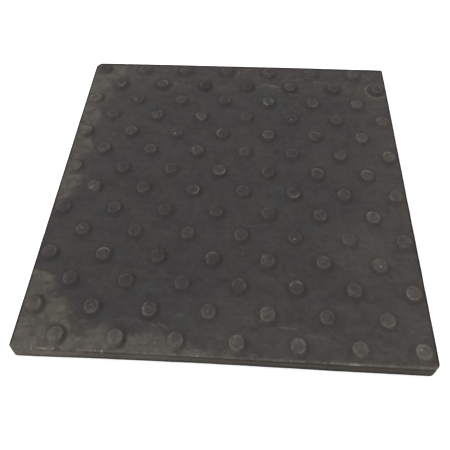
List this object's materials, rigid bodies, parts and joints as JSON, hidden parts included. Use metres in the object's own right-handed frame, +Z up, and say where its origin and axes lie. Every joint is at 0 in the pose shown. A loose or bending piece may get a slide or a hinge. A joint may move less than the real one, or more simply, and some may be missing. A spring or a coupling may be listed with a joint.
{
  "type": "snowboard stomp pad",
  "caption": "Square studded rubber traction pad for a snowboard's top sheet, with foam mounting tape let into its underside and a split peel-off liner.",
  "frame": {"origin": "centre of the pad on the plane of the liner's underside, the plane it rests on", "axes": "+Z up through the studs; +Y towards the row of studs that starts in the -X corner; +X to the right when looking down with +Y away from the viewer; the liner's slit runs along Y"},
  "size_m": [0.125, 0.125, 0.0073],
  "materials": {
    "tread_rubber": "matt moulded black rubber, weathered grey with dust",
    "tape_adhesive": "clear tacky acrylic adhesive",
    "tape_foam": "closed-cell foam",
    "liner_paper": "silicone-coated release paper, satin"
  },
  "bodies": {
    "pad": {"rubber_tread": "tread_rubber", "tape_adhesive_upper": "tape_adhesive", "tape_foam_core": "tape_foam", "tape_adhesive_lower": "tape_adhesive"},
    "liner_left": {"release_liner_left": "liner_paper"},
    "liner_right": {"release_liner_right": "liner_paper"}
  },
  "joints": [
    {"name": "liner_left_peel", "type": "hinge", "parent": "pad", "child": "liner_left", "pos_m": [-0.0592, 0, 0], "axis": [0, 1, 0], "range_deg": [0, 180]},
    {"name": "liner_right_peel", "type": "hinge", "parent": "pad", "child": "liner_right", "pos_m": [0.0592, 0, 0], "axis": [0, -1, 0], "range_deg": [0, 180]}
  ]
}
